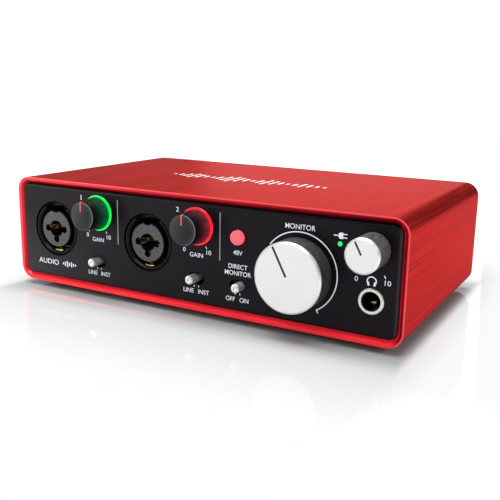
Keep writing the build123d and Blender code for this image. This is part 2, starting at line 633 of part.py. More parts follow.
def jack_insert(place):
    """The round insert inside the bore: a plug guide with three pin holes that open into its mouth."""
    x, z = place
    seat = FASCIA_FACE + JACK_BORE_DEPTH
    insert = rod(place, INSERT_RADIUS, FASCIA_FACE, seat)
    insert = chamfer(insert.edges().filter_by(GeomType.CIRCLE).sort_by(Axis.Y)[:1], INSERT_EDGE)
    insert -= rod(place, PLUG_GUIDE_RADIUS, FASCIA_FACE, seat)
    insert -= rod(place, INSERT_MOUTH_RADIUS, FASCIA_FACE, FASCIA_FACE + PIN_HOLE_DEPTH)
    for pin in pin_places(place):
        insert -= rod(pin, PIN_HOLE_RADIUS, FASCIA_FACE, FASCIA_FACE + PIN_HOLE_DEPTH)
    key = block((x - KEY_WIDTH / 2, x + KEY_WIDTH / 2), (FASCIA_FACE, FASCIA_FACE + PIN_HOLE_DEPTH),
                (z + INSERT_RADIUS - KEY_DEPTH, z + INSERT_RADIUS + 1))
    return insert - key


def jack_contacts(place):
    """A spring sleeve in each pin hole, open towards the mouth."""
    made = []
    for pin in pin_places(place):
        sleeve = tube(pin, PIN_HOLE_RADIUS - PIN_SLEEVE_GAP, PIN_HOLE_RADIUS - PIN_SLEEVE_WALL,
                      FASCIA_FACE + PIN_SLEEVE_START, FASCIA_FACE + PIN_HOLE_DEPTH)
        mouth = rod(place, INSERT_MOUTH_RADIUS, FASCIA_FACE, FASCIA_FACE + PIN_HOLE_DEPTH)
        made.append(sleeve - mouth)
    return group(made)


def ground_spring(place):
    """A curved spring strip let into the bottom of the bore, which grips a plug's metal shell."""
    x, z = place
    outer = JACK_BORE_RADIUS + SPRING_SINK
    ring = Pos(x, z) * (Circle(outer) - Circle(outer - SPRING_THICKNESS))
    strip = Pos(x, z - outer) * Rectangle(SPRING_WIDTH, outer)
    return prism(ring & strip, FASCIA_FACE + 1.5 * JACK_LIP_DROP, FASCIA_FACE + JACK_BORE_DEPTH - 2)


# ---------------------------------------------------------------- 6.35 mm jacks
def headphone_ferrule(place):
    outer, front = FERRULE_FLANGE_RADIUS, FASCIA_FACE - FERRULE_FLANGE
    edge = FERRULE_FLANGE / 2
    outline = [(SOCKET_RADIUS, front + edge), (SOCKET_RADIUS + edge, front), (outer - edge, front),
               (outer, front + edge), (outer, FASCIA_FACE), (FERRULE_RADIUS, FASCIA_FACE),
               (FERRULE_RADIUS, FERRULE_END), (SOCKET_RADIUS, FERRULE_END)]
    return turned(place, outline)


def spring_leaf(place, y_start, side):
    """A bent contact leaf: it leaves the wall of the bore and bows towards the axis."""
    x, z = place
    wall = JACK_BODY_BORE + LEAF_ROOT
    path = [(wall, 0), (LEAF_BOW, 0.5 * LEAF_LENGTH), (LEAF_BOW + LEAF_ROOT, 0.75 * LEAF_LENGTH),
            (wall, LEAF_LENGTH)]
    inner = [(x + side * radius, y_start + along) for radius, along in path]
    outer = [(px + side * LEAF_THICKNESS, py) for px, py in reversed(inner)]
    face = make_face(Polyline(*inner, *outer, close=True))
    return Pos(0, 0, z) * extrude(face, amount=LEAF_WIDTH / 2, both=True)


def headphone_leaf(place):
    """The sleeve contact, low on the left of the bore."""
    return spring_leaf((place[0], place[1] - LEAF_DROP), FERRULE_END + LEAF_THICKNESS, -1)


def headphone_body(place):
    """The jack's body, standing on the main board behind the steel plate."""
    x, z = place
    front = PLATE_BACK
    back = front + JACK_BODY_LENGTH
    half = JACK_BODY_WIDTH / 2
    body = block((x - half, x + half), (front, back), (BOARD_TOP, z + half - 1))
    body -= rod(place, FERRULE_RADIUS + FERRULE_GAP, front, FERRULE_END)
    body -= rod(place, JACK_BODY_BORE, front, back - JACK_BODY_END_WALL)
    return body - headphone_leaf(place)


def line_out_jack(place):
    """A rear jack: a body on the board and a threaded bush through the rear panel."""
    x, z = place
    front = REAR_INSIDE - OUTPUT_BODY_LENGTH
    half = JACK_BODY_WIDTH / 2
    tip = REAR_INSIDE + OUTPUT_BUSH_REACH
    body = block((x - half, x + half), (front, REAR_INSIDE), (BOARD_TOP, z + half))
    body += rod(place, OUTPUT_BUSH_RADIUS, REAR_INSIDE, tip)
    root = REAR_INSIDE - OUTPUT_BUSH_ROOT
    body -= rod(place, JACK_BODY_BORE, front + JACK_BODY_END_WALL, root)
    return body - rod(place, SOCKET_RADIUS, root, tip)


def line_out_nuts():
    """Round nuts with notches for a key, one on each rear jack."""
    made = []
    for place in map(at, LINE_OUT_JACKS.values()):
        nut = tube(place, NUT_RADIUS, OUTPUT_BUSH_RADIUS + THREAD_GAP, REAR_FACE, REAR_FACE + NUT_THICKNESS)
        for step in range(NUT_NOTCHES):
            rim = (place[0], place[1] + NUT_RADIUS)
            notch = block_at(rim, NUT_NOTCH, NUT_NOTCH, REAR_FACE, REAR_FACE + NUT_THICKNESS)
            nut -= spun(notch, place, step * 360 / NUT_NOTCHES)
        made.append(nut)
    return group(made)


# ---------------------------------------------------------------- USB socket and lock slot
def usb_place():
    return USB_X, BOARD_TOP + USB_SHELL[2] / 2


def usb_cavity(grow, y_from, y_to):
    width, height = (size + 2 * grow for size in USB_CAVITY)
    outline = Rectangle(width, height)
    outline = chamfer(outline.vertices().group_by(Axis.Y)[-1], USB_CAVITY_BEVEL)
    return prism(Pos(*usb_place()) * outline, y_from, y_to)


def usb_shell():
    """A folded steel shell on the main board, open to the rear."""
    width, depth, height = USB_SHELL
    tip = REAR_FACE + USB_PROUD
    shell = block_at(usb_place(), width, height, tip - depth, tip)
    return shell - usb_cavity(0, tip - depth + USB_SHELL_WALL, tip)


def usb_tongue():
    """The contact tongue in the middle of the socket, with four flush contacts on each face."""
    width, depth, _ = USB_SHELL
    tip = REAR_FACE + USB_PROUD
    x, z = usb_place()
    tongue = block_at((x, z), *USB_TONGUE, tip - depth + USB_SHELL_WALL, tip - 1.2)
    for step in (-1, 1):
        for level in (-1, 1):
            groove = (x + step * 1.25, z + level * USB_TONGUE[1] / 2)
            tongue -= block_at(groove, 1.0, 0.3, tip - depth + 4, tip - 2)
    return tongue


def lock_plate():
    """A small steel plate flush in the rear panel, with the slot for a cable lock."""
    plate = block_at(at(LOCK_SLOT), *LOCK_PLATE, REAR_INSIDE, REAR_FACE)
    return plate - prism(Pos(*at(LOCK_SLOT)) * SlotOverall(*LOCK_OPENING), REAR_INSIDE, REAR_FACE)


def lock_bracket():
    """A flanged steel cup behind the lock plate, where the head of a cable lock turns."""
    width, depth, height = LOCK_POCKET
    place, wall = at(LOCK_SLOT), 2 * LOCK_POCKET_WALL
    cup = block_at(place, width + wall, height + wall, REAR_INSIDE - depth - LOCK_POCKET_WALL, REAR_INSIDE)
    flange = [side + 2 * LOCK_FLANGE for side in LOCK_PLATE]
    cup += block_at(place, *flange, REAR_INSIDE - LOCK_FLANGE, REAR_INSIDE)
    return cup - block_at(place, width, height, REAR_INSIDE - depth, REAR_INSIDE)


# ---------------------------------------------------------------- slide switches and button
def selector_rest(place, side):
    """Where a selector's pin stands at rest: side -1 is its left stop and 1 its right stop."""
    x, z = at(place)
    return x + side * SELECTOR_TRAVEL / 2, z


def selector(place, side):
    """The moving pin of a slide switch, with the carriage that runs inside the switch."""
    x, z = selector_rest(place, side)
    width, depth, height = CARRIAGE
    carriage_front = PLATE_BACK + PANEL_GAP + SWITCH_WALL + SWITCH_GAP
    tip = FASCIA_FACE - SELECTOR_PROUD
    pin = rod((x, z), SELECTOR_RADIUS, tip, carriage_front)
    pin = fillet(pin.edges().filter_by(GeomType.CIRCLE).sort_by(Axis.Y)[:1], SELECTOR_ROUND)
    dimple = turned((x, z), [(0, tip), (SELECTOR_DIMPLE[0], tip), (0, tip + SELECTOR_DIMPLE[1])])
    carriage = block_at((x, z), width, height, carriage_front, carriage_front + depth)
    return pin - dimple + carriage


def slide_switch(place):
    """The fixed body: a box between the steel plate and the control board, slotted at the front."""
    x, z = at(place)
    width, height = SWITCH_BODY
    front = PLATE_BACK + PANEL_GAP
    body = block_at((x, z), width, height, front, CONTROL_FRONT)
    run = CARRIAGE[0] + SELECTOR_TRAVEL + 2 * SWITCH_GAP
    cavity_front = front + SWITCH_WALL
    body -= block_at((x, z), run, CARRIAGE[2] + 2 * SWITCH_GAP, cavity_front,
                     cavity_front + CARRIAGE[1] + 2 * SWITCH_GAP)
    slot_length = 2 * (SELECTOR_RADIUS + SWITCH_GAP) + SELECTOR_TRAVEL
    slot = Pos(x, z) * SlotOverall(slot_length, 2 * (SELECTOR_RADIUS + SWITCH_GAP))
    return body - prism(slot, front, cavity_front)


def phantom_button():
    """The round key: cap, retaining flange and stem."""
    place = at(PHANTOM_BUTTON)
    front = FASCIA_FACE - BUTTON_PROUD
    flange = FASCIA_BACK - FASCIA_THICKNESS / 2
    cap = rod(place, BUTTON_RADIUS, front, flange)
    cap = fillet(cap.edges().filter_by(GeomType.CIRCLE).sort_by(Axis.Y)[:1], BUTTON_EDGE)
    cap += rod(place, BUTTON_FLANGE_RADIUS, flange, flange + BUTTON_FLANGE)
    stem_end = button_seat() - BUTTON_TRAVEL - BUTTON_GAP
    return cap + rod(place, BUTTON_STEM_RADIUS, flange + BUTTON_FLANGE, stem_end)


def button_seat():
    """The floor of the bore that the button's stem runs in."""
    return CONTROL_FRONT - BUTTON_BODY_FLOOR


def phantom_switch():
    place = at(PHANTOM_BUTTON)
    body = block_at(place, BUTTON_BODY, BUTTON_BODY, PLATE_BACK + PANEL_GAP + BUTTON_TRAVEL, CONTROL_FRONT)
    return body - rod(place, BUTTON_STEM_RADIUS + BUTTON_GAP / 2, PLATE_BACK, button_seat())


# ---------------------------------------------------------------- assembly
def build():
    """Every node by name."""
    nodes = {
        "case_sleeve": case_sleeve(),
        "front_fascia": front_fascia(),
        "front_plate": front_plate(),
        "front_plate_screws": screws(FASCIA_BACK, 1),
        "rear_panel": rear_panel(),
        "rear_panel_screws": screws(REAR_FACE, -1),
        "feet": feet(),
        "main_board": main_board(),
        "control_board": control_board(),
        "board_header": board_header(),
        "capacitors": capacitors(),
        "chips": chips(),
        "panel_leds": panel_leds(),
        "status_light": status_light(),
        "headphone_jack_ferrule": headphone_ferrule(at(HEADPHONE_JACK)),
        "headphone_jack_body": headphone_body(at(HEADPHONE_JACK)),
        "headphone_jack_leaf": headphone_leaf(at(HEADPHONE_JACK)),
        "line_out_nuts": line_out_nuts(),
        "usb_socket_shell": usb_shell(),
        "usb_socket_tongue": usb_tongue(),
        "lock_plate": lock_plate(),
        "lock_bracket": lock_bracket(),
        "phantom_switch": phantom_switch(),
        "phantom_button": phantom_button(),
    }
    for number, place in INPUT_JACKS.items():
        nodes[f"input_jack_{number}_shell"] = jack_shell(at(place))
        nodes[f"input_jack_{number}_insert"] = jack_insert(at(place))
        nodes[f"input_jack_{number}_contacts"] = jack_contacts(at(place))
        nodes[f"input_jack_{number}_ground_spring"] = ground_spring(at(place))
    for number, place in GAIN_DIALS.items():
        knob, pointer = gain_knob(at(place))
        nodes[f"gain_halo_{number}"] = gain_halo(at(place))
        nodes[f"gain_pot_{number}"] = potentiometer(at(place))
        turning = {"knob": knob, "pointer": pointer, "shaft": dial_shaft(at(place), GAIN_DIAL_HEIGHT)}
        for piece, shape in turning.items():
            nodes[f"gain_{piece}_{number}"] = spun(shape, at(place), GAIN_POINTER_ANGLE)
    silver = {
        "monitor": (MONITOR_DIAL, MONITOR_DIAL_RADIUS, MONITOR_DIAL_HEIGHT, (0.6, 12.0), 0.85),
        "headphone": (HEADPHONE_DIAL, HEADPHONE_DIAL_RADIUS, HEADPHONE_DIAL_HEIGHT, (0.4, 5.3), 0.7),
    }
    for name, (place, radius, height, span, width) in silver.items():
        body, cap, pointer = silver_dial(at(place), radius, height, span, width)
        nodes[f"{name}_pot"] = potentiometer(at(place))
        turning = {"knob": body, "cap": cap, "pointer": pointer, "shaft": dial_shaft(at(place), height)}
        for piece, shape in turning.items():
            nodes[f"{name}_{piece}"] = spun(shape, at(place), SILVER_POINTER_ANGLE)
    for number, place in LINE_OUT_JACKS.items():
        nodes[f"line_out_jack_{number}"] = line_out_jack(at(place))
    for number, place in INPUT_SWITCHES.items():
        nodes[f"input_switch_{number}"] = slide_switch(place)
        nodes[f"input_selector_{number}"] = selector(place, -1)
    nodes["direct_switch"] = slide_switch(DIRECT_SWITCH)
    nodes["direct_selector"] = selector(DIRECT_SWITCH, 1)
    return nodes


os.makedirs("parts", exist_ok=True)
for node_name, node_shape in build().items():
    export_step(node_shape, f"parts/{node_name}.step")
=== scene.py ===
"""Looks of the desktop audio interface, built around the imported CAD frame. Metres throughout."""

import math

import bmesh
import bpy
from mathutils import Matrix, Vector


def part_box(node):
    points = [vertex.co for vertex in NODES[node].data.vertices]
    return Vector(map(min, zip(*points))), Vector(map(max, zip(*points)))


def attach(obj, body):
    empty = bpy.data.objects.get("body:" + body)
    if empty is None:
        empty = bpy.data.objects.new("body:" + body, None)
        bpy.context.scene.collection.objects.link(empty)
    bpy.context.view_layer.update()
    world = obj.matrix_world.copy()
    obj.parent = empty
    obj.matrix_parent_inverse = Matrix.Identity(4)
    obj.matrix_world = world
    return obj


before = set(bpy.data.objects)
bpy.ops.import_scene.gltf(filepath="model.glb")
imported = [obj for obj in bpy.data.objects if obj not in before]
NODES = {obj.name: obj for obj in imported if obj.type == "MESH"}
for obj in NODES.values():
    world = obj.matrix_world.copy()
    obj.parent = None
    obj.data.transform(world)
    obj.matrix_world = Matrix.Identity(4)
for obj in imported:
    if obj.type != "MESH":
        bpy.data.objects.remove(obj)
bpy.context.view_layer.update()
MM = 0.001
scene = bpy.context.scene


# ---------------------------------------------------------------- places, from the CAD
def centre(node):
    low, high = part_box(node)
    return (Vector(low) + Vector(high)) / 2


CASE_LOW, CASE_HIGH = (Vector(v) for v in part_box("case_sleeve"))
CASE_MIDDLE = (CASE_LOW + CASE_HIGH) / 2
CASE_HALF = (CASE_HIGH - CASE_LOW) / 2
FASCIA_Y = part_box("front_fascia")[0][1]
CORNER = 6.0 * MM              # outer corner radius of the sleeve, seen from the front
WALL = 2.5 * MM                # width of the sleeve's rim
SOCKET_RADIUS = 3.3 * MM       # bore of the headphone jack


# ---------------------------------------------------------------- node materials
SOCKETS = {
    "colour": "Base Color", "rough": "Roughness", "metal": "Metallic", "specular": "Specular IOR Level",
    "tint": "Specular Tint", "coat": "Coat Weight", "coat_rough": "Coat Roughness",
    "glow_colour": "Emission Color", "glow": "Emission Strength",
}
WIDE = (0.3, 0.7)              # the span of a noise that a recipe spreads out, for a gentle change
NARROW = (0.35, 0.65)          # and for a stronger one
TWO_WIDE = (0.7, 1.3)          # a gentle change again, for the sum of two noises
SATIN_RELIEF = 0.006 * MM      # bump height of a satin surface


def opaque(value):
    """A colour of three numbers gets full alpha; anything else stays as it is."""
    return (*value, 1.0) if isinstance(value, tuple) and len(value) == 3 else value


class Paint:
    """A procedural material: short calls for the nodes that the recipes below are made of."""

    def __init__(self, name):
        self.material = bpy.data.materials.new(name)
        self.material.use_nodes = True
        self.tree = self.material.node_tree
        self.shader = self.tree.nodes["Principled BSDF"]
        self.place = self.add("ShaderNodeTexCoord").outputs["Object"]

    def add(self, kind, **settings):
        node = self.tree.nodes.new(kind)
        for key, value in settings.items():
            setattr(node, key, value)
        return node

    def wire(self, value, socket):
        """Link a socket to another, or set it to a plain value."""
        if isinstance(value, bpy.types.NodeSocket):
            self.tree.links.new(value, socket)
        else:
            socket.default_value = value

    def set(self, **values):
        for key, value in values.items():
            self.wire(opaque(value), self.shader.inputs[SOCKETS[key]])

    def colour(self):
        """What the base colour is linked to so far."""
        return self.shader.inputs["Base Color"].links[0].from_socket

    def math(self, operation, a, b=0.0):
        node = self.add("ShaderNodeMath", operation=operation)
        self.wire(a, node.inputs[0])
        self.wire(b, node.inputs[1])
        return node.outputs[0]

    def total(self, *values):
        result = values[0]
        for value in values[1:]:
            result = self.math("ADD", result, value)
        return result

    def less(self, a, b):
        return self.math("SUBTRACT", a, b)

    def times(self, a, b):
        return self.math("MULTIPLY", a, b)

    def stretch(self, scale, place=None):
        node = self.add("ShaderNodeVectorMath", operation="MULTIPLY")
        self.wire(place or self.place, node.inputs[0])
        node.inputs[1].default_value = scale
        return node.outputs[0]

    def noise(self, scale, detail=2.0, roughness=0.5):
        """Noise at a scale for each axis, or at one for all three."""
        node = self.add("ShaderNodeTexNoise")
        self.wire(self.stretch(scale if isinstance(scale, tuple) else (scale,) * 3), node.inputs["Vector"])
        node.inputs["Scale"].default_value = 1.0
        node.inputs["Detail"].default_value = detail
        node.inputs["Roughness"].default_value = roughness
        return node.outputs["Fac"]

    def range(self, value, low, high, to_low=0.0, to_high=1.0, smooth=False):
        node = self.add("ShaderNodeMapRange", interpolation_type="SMOOTHSTEP" if smooth else "LINEAR")
        self.wire(value, node.inputs["Value"])
        for name, number in (("From Min", low), ("From Max", high), ("To Min", to_low), ("To Max", to_high)):
            node.inputs[name].default_value = number
        return node.outputs["Result"]

    def mix(self, factor, a, b):
        node = self.add("ShaderNodeMix", data_type="RGBA")
        self.wire(factor, node.inputs["Factor"])
        colours = [s for s in node.inputs if s.type == "RGBA"]
        self.wire(opaque(a), colours[0])
        self.wire(opaque(b), colours[1])
        return next(s for s in node.outputs if s.type == "RGBA")

    def bump(self, height, distance):
        node = self.add("ShaderNodeBump")
        self.wire(height, node.inputs["Height"])
        node.inputs["Distance"].default_value = distance
        self.wire(node.outputs["Normal"], self.shader.inputs["Normal"])

    def axis(self, index, source=None):
        node = self.add("ShaderNodeSeparateXYZ")
        self.wire(source or self.place, node.inputs[0])
        return node.outputs[index]

    def from_axis(self, point):
        """Distance from a line through a point, square to the front."""
        node = self.add("ShaderNodeVectorMath", operation="SUBTRACT")
        self.wire(self.place, node.inputs[0])
        node.inputs[1].default_value = point
        flat = self.stretch((1.0, 0.0, 1.0), node.outputs[0])
        length = self.add("ShaderNodeVectorMath", operation="LENGTH")
        self.wire(flat, length.inputs[0])
        return length.outputs["Value"]

    def facing(self, index):
        """How far the surface faces along an axis, from -1 to 1, in the part's own frame."""
        return self.axis(index, self.add("ShaderNodeNewGeometry").outputs["Normal"])


def grained(name, dark, light, rough, grain, depth, metal=0.0, specular=0.5, coat=0.0):
    """A moulded or blasted surface: fine cells for its grain, slower noise for its colour."""
    paint = Paint(name)
    fine = paint.noise(grain, 3.0)
    slow = paint.noise(grain / 12.0)
    paint.set(colour=paint.mix(paint.range(paint.total(fine, slow), *TWO_WIDE), dark, light),
              rough=paint.range(fine, *WIDE, rough[0], rough[1]), metal=metal, specular=specular, coat=coat)
    paint.bump(fine, depth)
    return paint


def brushed(name, dark, light, rough, along, depth, metal=1.0):
    """A metal brushed or turned along one axis: streaks long that way and fine across it."""
    paint = Paint(name)
    fine, coarse = [3600.0] * 3, [640.0] * 3
    fine[along], coarse[along] = 48.0, 16.0
    streak = paint.noise(tuple(fine))
    band = paint.noise(tuple(coarse))
    both = paint.total(paint.times(streak, 0.6), paint.times(band, 0.4))
    paint.set(colour=paint.mix(paint.range(both, *NARROW), dark, light),
              rough=paint.range(both, *WIDE, rough[0], rough[1]), metal=metal)
    paint.bump(streak, depth)
    return paint


SLEEVE_DARK = (0.38, 0.014, 0.011)
SLEEVE_LIGHT = (0.75, 0.051, 0.042)
SLEEVE_CLOUD = (0.58, 0.026, 0.021)
SLEEVE_SHINE = (0.84, 0.145, 0.122)
RIM_RED = (0.95, 0.025, 0.040)
# painted highlight colour for the rim's edges
RIM_PAINTED_HIGHLIGHT = (1.0, 0.13, 0.14)
# painted dark reflection colour, on the rim at the top and right
RIM_PAINTED_DARK = (0.16, 0.003, 0.008)
# painted glow colour for the bottom of the rim
UNDER_PAINTED_GLOW = (1.0, 0.03, 0.045)


def rim_ramps(paint):
    """How far a point of the rim is in from the outer edge, and how far it faces up or right, right, and down."""
    signed, squares = [], []
    for index in (0, 2):
        offset = paint.less(paint.axis(index), CASE_MIDDLE[index])
        over = paint.math("MAXIMUM", paint.less(paint.math("ABSOLUTE", offset), CASE_HALF[index] - CORNER), 0.0)
        signed.append(paint.times(over, paint.math("SIGN", offset)))
        squares.append(paint.times(over, over))
    across, up = signed
    reach = paint.math("SQRT", paint.total(*squares))
    inward = paint.less(CORNER, reach)
    up_right = paint.math("DIVIDE", paint.math("MAXIMUM", across, up), reach)
    to_right = paint.math("DIVIDE", across, reach)
    underneath = paint.times(paint.math("DIVIDE", up, reach), -1.0)
    return inward, up_right, to_right, underneath


def rim_colour_and_painted_light(paint, inward, up_right, to_right):
    """The cut rim's red with painted light on it: a painted highlight along its outer edge, a painted dark reflection
    beside it at the top and right, and a painted highlight along its inner edge at the right. Also gives the mask of
    the painted dark reflection."""
    front_half = paint.range(paint.axis(1), 0.0, 10 * MM, 1.0, 0.0)
    towards = paint.range(up_right, 0.3, 0.8)
    # painted highlight along the rim's inner edge, at the right
    painted_inner_highlight = paint.times(paint.range(inward, 1.4 * MM, 1.6 * MM), paint.range(to_right, 0.6, 0.95))
    # painted dark reflection beside the outer edge, at the top and right, fading towards the left
    painted_dark = paint.times(paint.range(inward, 0.45 * MM, 0.85 * MM, smooth=True), towards)
    painted_dark = paint.times(paint.times(painted_dark, front_half), paint.range(painted_inner_highlight, 0.0, 1.0, 1.0, 0.10))
    painted_dark = paint.times(painted_dark, paint.range(paint.axis(0), -80 * MM, 80 * MM, 0.35, 1.0))
    # painted highlight along the rim's outer edge
    painted_outer_highlight = paint.times(paint.range(inward, 0.25 * MM, 0.60 * MM, 1.0, 0.0), towards)
    cut = paint.mix(paint.times(painted_outer_highlight, 0.7), RIM_RED, RIM_PAINTED_HIGHLIGHT)
    return paint.mix(painted_dark, cut, RIM_PAINTED_DARK), painted_dark


def sleeve_paint():
    """Red anodised sleeve: brushed front to back, its cut rim brighter and smoother, with painted highlights and a
    painted dark reflection on the rim and a painted glow along its bottom.
    """
    paint = Paint("sleeve_brushed_red")
    streak = paint.noise((4600.0, 30.0, 4600.0))
    band = paint.noise((1500.0, 11.0, 1500.0), 3.0)
    cloud = paint.noise((30.0, 8.0, 30.0))
    grain = paint.total(paint.times(streak, 0.5), paint.times(band, 0.5))
    endways = paint.math("ABSOLUTE", paint.facing(1))
    rim = paint.range(endways, 0.2, 0.35)
    face = paint.range(endways, 0.7, 0.9)
    skin = paint.mix(paint.range(grain, 0.40, 0.60), SLEEVE_DARK, SLEEVE_LIGHT)
    skin = paint.mix(paint.range(cloud, *NARROW, 0.0, 0.25), skin, SLEEVE_CLOUD)
    inward, up_right, to_right, underneath = rim_ramps(paint)
    # the rim's colour carries its painted highlights and painted dark reflection
    cut, painted_dark = rim_colour_and_painted_light(paint, inward, up_right, to_right)
    # painted glow along the bottom of the rim
    under = paint.times(rim, paint.range(underneath, 0.3, 0.9))
    rough = paint.times(paint.less(1.0, rim), paint.range(grain, *NARROW, 0.29, 0.44))
    paint.set(colour=paint.mix(rim, skin, cut), rough=paint.total(rough, paint.times(rim, 0.22)),
              metal=paint.total(paint.range(rim, 0.0, 1.0, 0.85, 0.15), paint.times(face, 0.4)),
              tint=SLEEVE_SHINE, specular=paint.range(painted_dark, 0.0, 1.0, 0.5, 0.12),
              coat=paint.times(paint.times(rim, 0.35), paint.less(1.0, painted_dark)), coat_rough=0.12,
              glow_colour=UNDER_PAINTED_GLOW, glow=paint.times(under, 0.22))
    paint.bump(paint.times(grain, paint.range(rim, 0.0, 1.0, 1.0, 0.08)), 0.03 * MM)
    return paint


def fascia_paint():
    """Satin black paint with a fine orange-peel grain, a painted highlight on its rounded right edge, and glossier low
    on the left."""
    paint = Paint("fascia_satin_black")
    fine = paint.noise(5200.0)
    slow = paint.noise(240.0, 3.0)
    skin = paint.mix(paint.range(fine, *WIDE), (0.0034, 0.0026, 0.0036), (0.0068, 0.0054, 0.0072))
    right = CASE_HIGH.x - WALL
    # painted highlight on the fascia's rounded right edge
    edge = paint.times(paint.range(paint.axis(0), right - 2.0 * MM, right - 1.2 * MM),
                       paint.range(paint.facing(0), 0.20, 0.70))
    low_left = paint.times(paint.range(paint.axis(0), CASE_LOW.x, CASE_LOW.x + 60 * MM, 1.0, 0.0),
                           paint.range(paint.axis(2), CASE_LOW.z + 6 * MM, CASE_LOW.z + 32 * MM, 1.0, 0.0))
    paint.set(colour=paint.mix(edge, skin, (0.055, 0.051, 0.057)), tint=(1.0, 0.93, 1.0),
              rough=paint.range(paint.total(fine, slow), *TWO_WIDE, 0.34, 0.44),
              specular=paint.range(low_left, 0.0, 1.0, 0.14, 0.32))
    paint.bump(fine, SATIN_RELIEF)
    return paint


def glow_paint(name, colour, deep, strength):
    """A lit milky moulding, with faint clouding in its colour and glow."""
    paint = Paint(name)
    cloud = paint.noise(900.0)
    tint = paint.mix(paint.range(cloud, *WIDE), deep, colour)
    paint.set(colour=tint, rough=0.25, glow_colour=tint,
              glow=paint.range(cloud, *WIDE, strength * 0.9, strength * 1.05))
    paint.bump(cloud, 0.01 * MM)
    return paint


# painted shade and painted light across a gain dial's face
KNOB_SHADE = (0.003, 0.003, 0.004)
KNOB_LIT = (0.0145, 0.014, 0.0165)
KNOB_GRAIN = (0.010, 0.010, 0.011)
# painted highlight towards the right of a dial's face
KNOB_PAINTED_SHEEN = (0.045, 0.045, 0.049)
KNOB_SIDE = (0.004, 0.004, 0.0045)
# painted highlight on the rounded edge of a dial's face
KNOB_EDGE_HIGHLIGHT = (0.17, 0.17, 0.18)


def gain_knob_paint(name, node, ring, strength):
    """Smoky satin plastic, with painted light on its face: lighter to the upper left, darker to the lower right, and a
    painted highlight near the edge of the face towards the right. The light ring's light is painted as a glow down its
    side, most of it near the ring.
    """
    paint = Paint(name)
    low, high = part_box(node)
    middle = centre(node)
    radius = (high[0] - low[0]) / 2
    fine = paint.noise(2600.0, 3.0)
    streak = paint.noise((1500.0, 160.0, 1500.0))
    forward = paint.facing(1)
    side = paint.range(forward, -0.75, -0.25)
    across = paint.less(paint.axis(0), middle.x)
    # painted light: lighter to the upper left, painted shade to the lower right
    painted_light_slope = paint.less(paint.less(paint.axis(2), middle.z), across)
    tone = paint.mix(paint.range(painted_light_slope, -1.2 * radius, 1.3 * radius, smooth=True), KNOB_SHADE, KNOB_LIT)
    tone = paint.mix(paint.range(fine, 0.2, 0.8, 0.0, 0.35), tone, KNOB_GRAIN)
    right = paint.range(across, -0.2 * radius, 0.8 * radius, 0.15, 1.0)
    # painted highlight in a band near the edge of the face, strongest to the right
    painted_sheen = paint.times(paint.range(paint.from_axis(middle), 0.45 * radius, 0.80 * radius, smooth=True), right)
    tone = paint.mix(paint.times(painted_sheen, 0.6), tone, KNOB_PAINTED_SHEEN)
    # painted highlight on the rounded edge of the face, towards the right
    shoulder_highlight = paint.times(paint.range(forward, -0.985, -0.92), paint.range(forward, -0.50, -0.30, 1.0, 0.0))
    near = paint.range(paint.axis(1), low[1] + 1.2 * MM, high[1])
    # painted glow: the light ring's light on the dial's side, strongest near the ring
    glow = paint.times(paint.times(near, near), paint.range(streak, *WIDE, 0.6 * strength, 1.3 * strength))
    colour = paint.mix(side, tone, KNOB_SIDE)
    paint.set(colour=paint.mix(paint.times(shoulder_highlight, right), colour, KNOB_EDGE_HIGHLIGHT),
              rough=paint.range(fine, *WIDE, 0.34, 0.46), specular=paint.range(side, 0.0, 1.0, 0.31, 0.12),
              glow_colour=ring, glow=paint.times(side, glow))
    paint.bump(fine, SATIN_RELIEF)
    return paint


def ferrule_paint():
    """Satin nickel, with painted shade down its bore, where the jack behind it would shade it."""
    paint = brushed("ferrule_nickel", (0.84, 0.79, 0.70), (0.97, 0.94, 0.87), (0.26, 0.40), 1, SATIN_RELIEF, metal=0.6)
    bright = paint.colour()
    # painted shade: the bore turns near black
    clear_of_painted_shade = paint.range(paint.from_axis(centre("headphone_jack_ferrule")), SOCKET_RADIUS + 0.10 * MM,
                       SOCKET_RADIUS + 0.25 * MM)
    paint.set(colour=paint.mix(clear_of_painted_shade, (0.03, 0.027, 0.022), bright), specular=paint.range(clear_of_painted_shade, 0.0, 1.0, 0.1, 0.5))
    return paint


def insert_paint(name):
    """Grey nylon with a rough front, and painted shade, near black, in its holes and down its side."""
    paint = Paint(name)
    fine = paint.noise(1500.0, 4.0, roughness=0.7)
    # painted shade: everything but the front face is near black
    front = paint.range(paint.facing(1), -0.95, -0.75, 1.0, 0.0)
    speckle = paint.mix(paint.range(fine, *NARROW), (0.022, 0.021, 0.023), (0.115, 0.110, 0.120))
    paint.set(colour=paint.mix(front, (0.004, 0.004, 0.0045), speckle),
              rough=paint.range(fine, *WIDE, 0.42, 0.6), specular=paint.range(front, 0.0, 1.0, 0.15, 0.5))
    paint.bump(fine, 0.05 * MM)
    return paint


def satin_side_paint(name, light):
    """The dark body of a silver dial: a blasted coating with fine sparkle."""
    paint = Paint(name)
    speck = paint.noise(3300.0, roughness=0.7)
    slow = paint.noise(700.0)
    both = paint.total(paint.times(speck, 0.8), paint.times(slow, 0.2))
    paint.set(colour=paint.mix(paint.range(both, 0.42, 0.62), (0.012, 0.012, 0.014), (light, light, light)),
              rough=paint.range(both, *NARROW, 0.30, 0.5), metal=0.4, specular=0.4)
    paint.bump(both, 0.05 * MM)
    return paint


